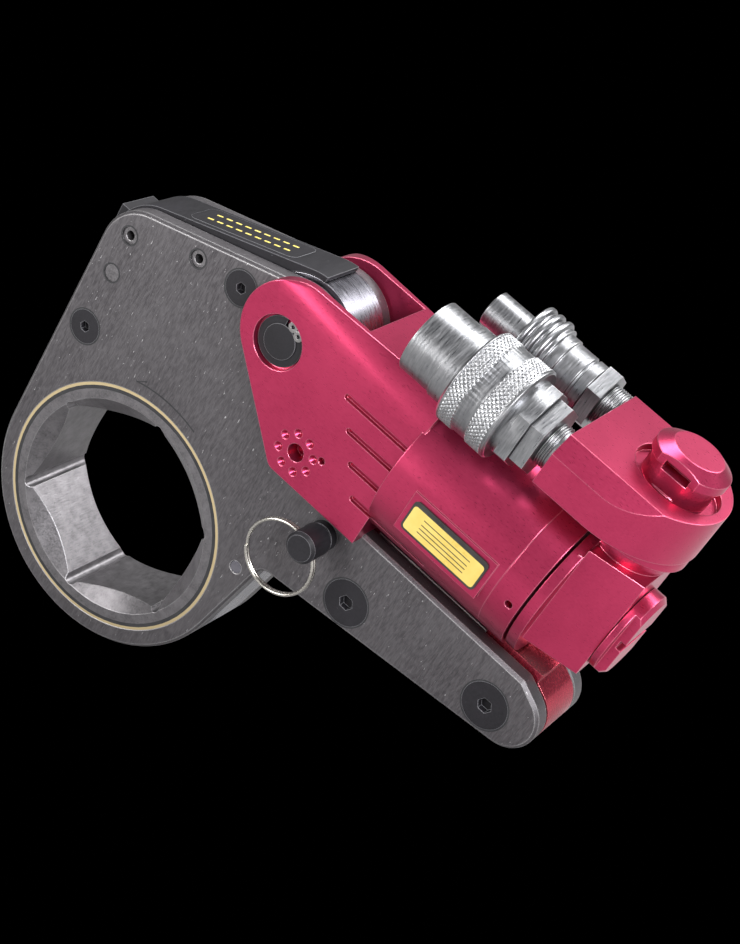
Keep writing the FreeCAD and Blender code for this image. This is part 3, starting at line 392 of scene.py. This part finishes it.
# Raised screw turns, shown as a run of rings between the nut and the manifold
def threadRings(name, y, start, end):
    size = {"crest": 7.3, "root": 6.62, "inner": 5.5, "pitch": 0.8, "segments": 96}
    count = int((end - start) / size["pitch"])
    profile = [(start, size["inner"])]
    for i in range(count):
        x = start + i * size["pitch"]
        profile += [(x, size["root"]), (x + size["pitch"] / 2, size["crest"])]
    profile += [(start + count * size["pitch"], size["inner"])]
    shape = lathe(profile, size["segments"], (0, y, couplerZ))
    addPiece(name, stand(shape), zinc, "swivel_head")


femaleSleeve()
maleBody()
threadRings("female_thread", -20.0, 110.0, 113.9)
threadRings("male_thread", 20.0, 108.0, 113.9)
print("couplers turned")


# Gives every face of a flat shape its thickness along Y.
def thicken(shape, thick):
    grown = bmesh.ops.extrude_face_region(shape, geom=shape.faces[:])
    moved = [part for part in grown["geom"] if isinstance(part, bmesh.types.BMVert)]
    bmesh.ops.translate(shape, vec=(0, thick, 0), verts=moved)


# Flat artwork is a thin solid: an outline in the plate's own plane, given thickness towards the viewer.
def flatPiece(outline, front, thick):
    shape = bmesh.new()
    shape.faces.new([shape.verts.new((x, front, z)) for x, z in outline])
    thicken(shape, thick)
    bmesh.ops.recalc_face_normals(shape, faces=shape.faces)
    return shape


def roundBox(x0, z0, x1, z1, radius, arcSteps=6):
    outline = []
    corners = ((x1 - radius, z1 - radius, 0), (x0 + radius, z1 - radius, 1),
               (x0 + radius, z0 + radius, 2), (x1 - radius, z0 + radius, 3))
    for x, z, quarter in corners:
        for i in range(arcSteps + 1):
            angle = math.pi / 2 * (quarter + i / arcSteps)
            outline.append((x + radius * math.cos(angle), z + radius * math.sin(angle)))
    return outline


# A flat ring in the plate's own plane, round the origin
def flatRing(inner, outer, segments):
    shape = bmesh.new()
    rings = []
    for radius in (inner, outer):
        made = bmesh.ops.create_circle(shape, cap_ends=False, radius=radius, segments=segments)
        rings += [edge for vert in made["verts"] for edge in vert.link_edges]
    bmesh.ops.bridge_loops(shape, edges=list(dict.fromkeys(rings)))
    bmesh.ops.rotate(shape, cent=(0, 0, 0), matrix=alongY.to_3x3(), verts=shape.verts)
    return shape


def merge(shapes):
    whole = bmesh.new()
    for shape in shapes:
        mesh = bpy.data.meshes.new("part")
        shape.to_mesh(mesh)
        shape.free()
        whole.from_mesh(mesh)
        bpy.data.meshes.remove(mesh)
    return whole


def nameplate():
    size = {
        "x0": 89.4, "z0": 82.2, "x1": 118.8, "z1": 93.3, "face": -28.8, "back": -28.3, "corner": 1.6,
        "rim": 0.7, "head": 1.7, "fieldCorner": 1.1, "sink": 0.1, "lines": (2.2, 4.0, 5.4, 6.8),
        "lineThick": 0.28, "inset": 5.5, "proud": 0.03,
    }
    left, low, right, high = size["x0"], size["z0"], size["x1"], size["z1"]
    plate = flatPiece(roundBox(left, low, right, high, size["corner"]), size["back"], size["face"] - size["back"])
    piece = addPiece("nameplate_border", stand(plate), labelBlack, "link")
    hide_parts("label_plate")
    rim = size["rim"]
    field = roundBox(left + rim, low + rim, right - rim, high - size["head"], size["fieldCorner"])
    panel = flatPiece(field, size["face"] + size["sink"], -size["sink"] - size["proud"])
    addPiece("nameplate_field", stand(panel), labelYellow, "link")
    rules = []
    start, end = left + size["inset"], right - size["inset"]
    for drop in size["lines"]:
        z = high - size["head"] - drop
        top = z + size["lineThick"]
        outline = [(start, z), (end, z), (end, top), (start, top)]
        rules.append(flatPiece(outline, size["face"], -size["proud"] * 2))
    addPiece("nameplate_rules", stand(merge(rules)), labelBlack, "link")


# An arc by the socket shows which way the link turns; its far end has an arrow's barb.
def turnArrow():
    size = {"radius": 48.0, "start": 107.6, "end": 75.4, "half": 0.26, "steps": 28, "face": -16.0, "rise": 0.06,
            "barb": 4.2, "spread": 0.42, "barbWide": 0.6}
    outline = []
    for side in (1, -1):
        for i in range(size["steps"] + 1):
            share = i / size["steps"] if side == 1 else 1 - i / size["steps"]
            angle = math.radians(size["start"] + (size["end"] - size["start"]) * share)
            reach = size["radius"] + side * size["half"]
            outline.append((reach * math.cos(angle), reach * math.sin(angle)))
    parts = [flatPiece(outline, size["face"], -size["rise"])]
    angle = math.radians(size["start"])
    out = Vector((math.cos(angle), math.sin(angle)))
    tip = out * size["radius"]
    back = tip + Vector((out.y, -out.x)) * size["barb"] + out * size["barb"] * size["spread"]
    barb = [tuple(tip), tuple(back), tuple(back - out * size["barbWide"])]
    parts.append(flatPiece(barb, size["face"], -size["rise"]))
    shape = merge(parts)
    bmesh.ops.recalc_face_normals(shape, faces=shape.faces)
    addPiece("turn_arrow", stand(shape), engravingAndGapShade, "link")


def washer(x, z, inner, outer, front, rise):
    shape = flatRing(inner, outer, 72)
    thicken(shape, rise)
    bmesh.ops.translate(shape, vec=(x, front, z), verts=shape.verts)
    bmesh.ops.recalc_face_normals(shape, faces=shape.faces)
    return shape


# Each screw and pin stands in a narrow gap, on both faces of the link; a thin dark ring round each one is painted
# shade in that gap.
def gapShadeRings():
    size = {"face": 16.0, "rise": 0.05, "sink": 0.05, "wide": 0.45, "under": 0.1}
    spots = [(-40.3, 47.7, 6.0), (1.66, 99.1, 6.0), (86.0, 38.1, 8.2), (140.6, 45.7, 8.2),
             (-40.8, 85.9, 3.0), (-15.9, 96.6, 3.0), (-40.5, 70.6, 3.0)]
    for label, side in (("front", -1), ("rear", 1)):
        front = side * (size["face"] - size["sink"])
        rise = side * (size["sink"] + size["rise"])
        rings = [washer(x, z, radius - size["under"], radius + size["wide"], front, rise)
                 for x, z, radius in spots]
        addPiece("gap_shade_rings_" + label, stand(merge(rings)), engravingAndGapShade, "link")


# The seam between the bush and the wheel gets a dark ring of painted shade, which leaves a thin brass line in view
def bushSeamShades():
    size = {"inner": 41.5, "outer": 42.75, "face": 16.0, "rise": 0.04, "sink": 0.05}
    for label, side in (("front", -1), ("rear", 1)):
        front = side * (size["face"] - size["sink"])
        ring = washer(0, 0, size["inner"], size["outer"], front, side * (size["sink"] + size["rise"]))
        addPiece("bush_seam_shade_" + label, stand(ring), engravingAndGapShade, "link")


# Circlip ears stand in each recess, one pair with plier holes at either face.
def circlipEars():
    size = {"x": 23.6, "z": 97.1, "depth": 1.0, "front": -20.55, "rear": 19.55, "reach": 7.29,
            "places": (52.0, 78.0), "hole": 0.65, "ear": 1.7, "segments": 28}
    for label, y in (("front", size["front"]), ("rear", size["rear"])):
        ears = []
        for turn in size["places"]:
            angle = math.radians(turn)
            x = size["x"] + size["reach"] * math.cos(angle)
            z = size["z"] + size["reach"] * math.sin(angle)
            shape = flatRing(size["hole"], size["ear"], size["segments"])
            bmesh.ops.solidify(shape, geom=shape.faces[:], thickness=size["depth"])
            bmesh.ops.translate(shape, vec=(x, y + size["depth"] / 2, z), verts=shape.verts)
            bmesh.ops.recalc_face_normals(shape, faces=shape.faces)
            ears.append(shape)
        addPiece("circlip_ears_" + label, stand(merge(ears)), springSteel, "link")


# A wire wound nearly twice round, which steps over to its second turn, with both of its ends showing.
def splitRing():
    size = {"x": 61.9, "y": -24.5, "z": 40.0, "radius": 12.6, "wire": 0.58, "step": 1.0, "turns": 1.94,
            "stepFrom": 0.9, "stepLong": 0.12, "stations": 300, "sides": 12, "start": 205.0}
    shape = bmesh.new()
    rings = []
    for i in range(size["stations"] + 1):
        share = i / size["stations"]
        angle = math.radians(size["start"]) + share * size["turns"] * 2 * math.pi
        turn = share * size["turns"]
        level = min(1.0, max(0.0, (turn - size["stepFrom"]) / size["stepLong"])) - 0.5
        out = Vector((math.cos(angle), 0, math.sin(angle)))
        middle = Vector((size["x"], size["y"] + level * size["step"], size["z"])) + out * size["radius"]
        ring = []
        for k in range(size["sides"]):
            lap = 2 * math.pi * k / size["sides"]
            spot = middle + out * size["wire"] * math.cos(lap) + Vector((0, size["wire"] * math.sin(lap), 0))
            ring.append(shape.verts.new(spot))
        rings.append(ring)
    for here, there in zip(rings, rings[1:]):
        for k in range(size["sides"]):
            after = (k + 1) % size["sides"]
            shape.faces.new((here[k], here[after], there[after], there[k]))
    shape.faces.new(rings[0][::-1])
    shape.faces.new(rings[-1])
    bmesh.ops.recalc_face_normals(shape, faces=shape.faces)
    piece = addPiece("split_ring_wire", stand(shape), nickel, "split_ring")
    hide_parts("split_ring")


# A shallow raised panel on the shroud, with two rows of plain dashes
def shroudPanel():
    size = {"slope": 19.76, "x": -39.0, "z": 97.25, "start": 9.0, "end": 50.5, "half": 7.2, "corner": 3.0,
            "lift": 0.25, "sink": 0.5}
    mark = {"rows": (-2.6, 2.6), "count": 9, "pitch": 3.7, "long": 2.3, "half": 0.45, "corner": 0.3,
            "arcSteps": 3, "under": 0.1, "thick": 0.14}
    slope = math.radians(size["slope"])
    along = (math.cos(slope), 0, math.sin(slope))
    out = (-math.sin(slope), 0, math.cos(slope))
    lay = Matrix(((along[0], -out[0], 0, size["x"]), (0, 0, 1, 0),
                  (along[2], -out[2], 0, size["z"]), (0, 0, 0, 1)))
    outline = roundBox(size["start"], -size["half"], size["end"], size["half"], size["corner"])
    panel = flatPiece(outline, size["sink"], -size["sink"] - size["lift"])
    marks = []
    first = (size["start"] + size["end"] - mark["pitch"] * (mark["count"] - 1) - mark["long"]) / 2
    for row in mark["rows"]:
        for i in range(mark["count"]):
            x = first + i * mark["pitch"]
            dash = roundBox(x, row - mark["half"], x + mark["long"], row + mark["half"], mark["corner"],
                            mark["arcSteps"])
            marks.append(flatPiece(dash, -size["lift"] + mark["under"], -mark["thick"]))
    parts = (("shroud_panel", panel, satinBlack), ("shroud_dashes", merge(marks), markYellow))
    for name, shape, material in parts:
        bmesh.ops.transform(shape, matrix=lay, verts=shape.verts)
        bmesh.ops.recalc_face_normals(shape, faces=shape.faces)
        addPiece(name, stand(shape), material, "link")


nameplate()
turnArrow()
gapShadeRings()
bushSeamShades()
circlipEars()
splitRing()
shroudPanel()
print("small pieces made")


# Camera and studio

def makeCamera():
    view = {"place": (0.38468, -0.48343, 0.21689), "turn": (71.213, -0.217, 31.265), "lens": 91.80,
            "sensor": 36, "near": 0.01}
    camera = bpy.data.cameras.new("camera")
    camera.sensor_fit = "HORIZONTAL"
    camera.sensor_width = view["sensor"]
    camera.lens = view["lens"]
    camera.clip_start = view["near"]
    eye = bpy.data.objects.new("camera", camera)
    eye.location = view["place"]
    eye.rotation_euler = [math.radians(a) for a in view["turn"]]
    bpy.context.scene.collection.objects.link(eye)
    bpy.context.scene.camera = eye


# Grey paper that lights the wrench from below and is black to the camera
def paperMaterial():
    sheet = {"color": (0.30, 0.30, 0.30), "second": (0.345, 0.345, 0.345), "roughness": (0.8, 0.9), "size": 5}
    material = plain("paper", sheet["color"], sheet["second"], sheet["roughness"], sheet["size"])
    tree = material.node_tree
    ray = tree.nodes.new("ShaderNodeLightPath")
    black = tree.nodes.new("ShaderNodeEmission")
    black.inputs["Color"].default_value = (0, 0, 0, 1)
    black.inputs["Strength"].default_value = 0
    mix = tree.nodes.new("ShaderNodeMixShader")
    link(tree, ray.outputs["Is Camera Ray"], mix.inputs[0])
    link(tree, tree.nodes["Principled BSDF"].outputs["BSDF"], mix.inputs[1])
    link(tree, black.outputs["Emission"], mix.inputs[2])
    link(tree, mix.outputs["Shader"], tree.nodes["Material Output"].inputs["Surface"])
    return material


def makeStudio():
    room = {"floor": -0.0502, "size": 6.0, "soft": 0.24, "aim": (0.1, 0, 0.02)}
    lamps = [  # place, size, watts, tint
        ((-0.35, -0.80, 0.42), 0.50, 9.0, (1.0, 0.99, 0.98)),
        ((0.85, -0.50, 0.40), 0.45, 14.0, (0.98, 0.98, 1.0)),
        ((0.22, 0.30, 0.90), 0.45, 9.0, (1.0, 1.0, 1.0)),
        ((0.60, 0.55, 0.50), 0.40, 6.0, (1.0, 1.0, 1.0)),
    ]
    shape = bmesh.new()
    bmesh.ops.create_grid(shape, x_segments=1, y_segments=1, size=room["size"])
    bmesh.ops.translate(shape, vec=(0, 0, room["floor"]), verts=shape.verts)
    mesh = bpy.data.meshes.new("floor")
    shape.to_mesh(mesh)
    shape.free()
    floor = bpy.data.objects.new("floor", mesh)
    bpy.context.scene.collection.objects.link(floor)
    floor.data.materials.append(paperMaterial())
    for place, size, watts, tint in lamps:
        lamp = bpy.data.lights.new("lamp", "AREA")
        lamp.energy = watts
        lamp.size = size
        lamp.color = tint
        holder = bpy.data.objects.new("lamp", lamp)
        holder.location = place
        toWrench = Vector(room["aim"]) - Vector(place)
        holder.rotation_euler = toWrench.to_track_quat("-Z", "Y").to_euler()
        bpy.context.scene.collection.objects.link(holder)
    world = bpy.data.worlds.new("studio")
    world.use_nodes = True
    tree = world.node_tree
    sky = tree.nodes["Background"]
    sky.inputs["Color"].default_value = (1, 1, 1, 1)
    ray = tree.nodes.new("ShaderNodeLightPath")
    link(tree, rangeOn(tree, ray.outputs["Is Camera Ray"], 0, 1, room["soft"], 0), sky.inputs["Strength"])
    bpy.context.scene.world = world
    bpy.context.scene.view_settings.view_transform = "Standard"


makeCamera()
makeStudio()
print("studio ready")
